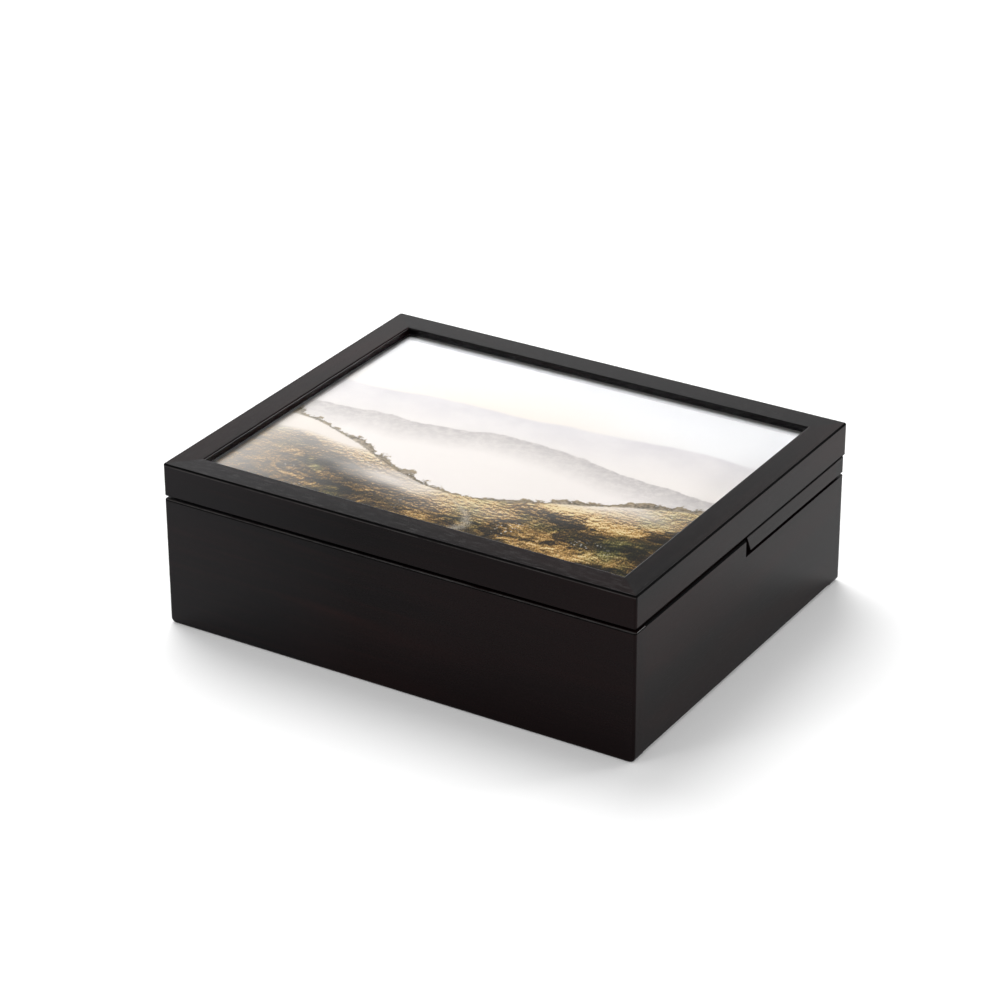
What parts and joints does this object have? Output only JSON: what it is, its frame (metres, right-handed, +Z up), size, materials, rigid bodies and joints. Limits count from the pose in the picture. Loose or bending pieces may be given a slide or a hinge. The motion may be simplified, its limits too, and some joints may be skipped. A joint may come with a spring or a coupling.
{
  "type": "musical jewelry box",
  "caption": "Low rectangular wooden keepsake box with a glazed picture lid on rear hinges, padded ring rolls, lined compartments and a wind-up musical movement.",
  "frame": {"origin": "on the table under the middle of the lid's outline", "axes": "+X along the front from left to right, +Y towards the hinges, +Z up"},
  "size_m": [0.235, 0.1894, 0.0781],
  "materials": {
    "espresso_wood": "near-black espresso stain under satin lacquer",
    "picture_glass": "clear, polished",
    "picture_print": "semi-gloss photographic print",
    "backing_board": "plain black board",
    "lining_suede": "short black suede cloth",
    "cushion_suede": "short black suede cloth over foam",
    "clear_acrylic": "clear, polished",
    "rubber_pad": "matt",
    "panel_board": "black-stained board, matt",
    "hinge_brass": "lightly brushed",
    "movement_brass": "polished",
    "cast_zinc": "bare die-cast grey",
    "nickel_steel": "nickel plated",
    "comb_steel": "ground",
    "fly_plastic": "off-white moulded"
  },
  "bodies": {
    "base": {"back_lining": "lining_suede", "back_right_divider": "lining_suede", "base_back_wall": "espresso_wood", "base_front_wall": "espresso_wood", "base_left_wall": "espresso_wood", "base_right_wall": "espresso_wood", "bay_cover": "clear_acrylic", "bay_cover_screws": "hinge_brass", "bay_front_wall": "lining_suede", "bay_ledges": "panel_board", "bay_side_wall": "lining_suede", "bottom_panel": "panel_board", "comb": "comb_steel", "comb_screws": "comb_steel", "floor_lining": "lining_suede", "front_lining": "lining_suede", "governor_frame": "cast_zinc", "hinge_base_leaves": "hinge_brass", "hinge_base_screws": "hinge_brass", "hinge_pins": "hinge_brass", "lid_bumpers": "rubber_pad", "middle_divider": "lining_suede", "movement_bedplate": "cast_zinc", "movement_screws": "comb_steel", "rear_divider": "lining_suede", "right_divider": "lining_suede", "ring_divider": "lining_suede", "ring_roll_1": "cushion_suede", "ring_roll_2": "cushion_suede", "ring_roll_3": "cushion_suede", "ring_roll_4": "cushion_suede", "side_linings": "lining_suede"},
    "lid": {"hinge_lid_leaves": "hinge_brass", "hinge_lid_screws": "hinge_brass", "lid_back_rail": "espresso_wood", "lid_backing_board": "backing_board", "lid_front_rail": "espresso_wood", "lid_glass": "picture_glass", "lid_left_rail": "espresso_wood", "lid_pad": "lining_suede", "lid_picture": "picture_print", "lid_right_rail": "espresso_wood", "strip_back": "espresso_wood", "strip_left": "espresso_wood", "strip_right": "espresso_wood", "turn_button_screws": "hinge_brass"},
    "winding_key": {"winding_key": "nickel_steel", "winding_arbor": "comb_steel"},
    "spring_barrel": {"spring_barrel": "nickel_steel", "mainspring": "comb_steel"},
    "pinned_cylinder": {"cylinder": "movement_brass", "cylinder_arbor": "movement_brass"},
    "governor_wheel": {"governor_wheel": "movement_brass"},
    "governor_fly": {"governor_fly": "fly_plastic", "governor_worm": "comb_steel"},
    "start_wire": {"start_wire": "comb_steel"},
    "turn_button_1": {"turn_button_1": "hinge_brass"},
    "turn_button_2": {"turn_button_2": "hinge_brass"},
    "turn_button_3": {"turn_button_3": "hinge_brass"},
    "turn_button_4": {"turn_button_4": "hinge_brass"}
  },
  "joints": [
    {"name": "lid_hinge", "type": "hinge", "parent": "base", "child": "lid", "pos_m": [0, 0.09265, 0.05395], "axis": [-1, 0, 0], "range_deg": [0, 100]},
    {"name": "turn_button_1_swivel", "type": "hinge", "parent": "lid", "child": "turn_button_1", "pos_m": [-0.072, -0.08665, 0.0691], "axis": [0, 0, -1], "range_deg": [0, 90]},
    {"name": "turn_button_2_swivel", "type": "hinge", "parent": "lid", "child": "turn_button_2", "pos_m": [0.072, -0.08665, 0.0691], "axis": [0, 0, 1], "range_deg": [0, 90]},
    {"name": "turn_button_3_swivel", "type": "hinge", "parent": "lid", "child": "turn_button_3", "pos_m": [-0.072, 0.08665, 0.0691], "axis": [0, 0, 1], "range_deg": [0, 90]},
    {"name": "turn_button_4_swivel", "type": "hinge", "parent": "lid", "child": "turn_button_4", "pos_m": [0.072, 0.08665, 0.0691], "axis": [0, 0, -1], "range_deg": [0, 90]},
    {"name": "winding_key_turn", "type": "hinge", "parent": "base", "child": "winding_key", "pos_m": [-0.09, 0.062, 0.01], "axis": [0, 0, 1], "continuous": true},
    {"name": "spring_barrel_spin", "type": "hinge", "parent": "base", "child": "spring_barrel", "pos_m": [-0.09, 0.062, 0.025], "axis": [0, 0, 1], "continuous": true},
    {"name": "cylinder_spin", "type": "hinge", "parent": "base", "child": "pinned_cylinder", "pos_m": [-0.066, 0.062, 0.03615], "axis": [1, 0, 0], "continuous": true},
    {"name": "governor_wheel_spin", "type": "hinge", "parent": "base", "child": "governor_wheel", "pos_m": [-0.0503, 0.06813, 0.03101], "axis": [1, 0, 0], "continuous": true},
    {"name": "fly_spin", "type": "hinge", "parent": "base", "child": "governor_fly", "pos_m": [-0.0503, 0.07453, 0.036], "axis": [0, 0, 1], "continuous": true},
    {"name": "start_wire_lift", "type": "slide", "parent": "base", "child": "start_wire", "axis": [0, 0, 1], "range_m": [0, 0.003]}
  ],
  "couplings": [
    {"joint": "cylinder_spin", "follows": "spring_barrel_spin", "ratio": 2.0833},
    {"joint": "governor_wheel_spin", "follows": "spring_barrel_spin", "ratio": -6.25},
    {"joint": "fly_spin", "follows": "spring_barrel_spin", "ratio": 125},
    {"joint": "start_wire_lift", "follows": "lid_hinge", "m_per_rad": 0.0017}
  ]
}
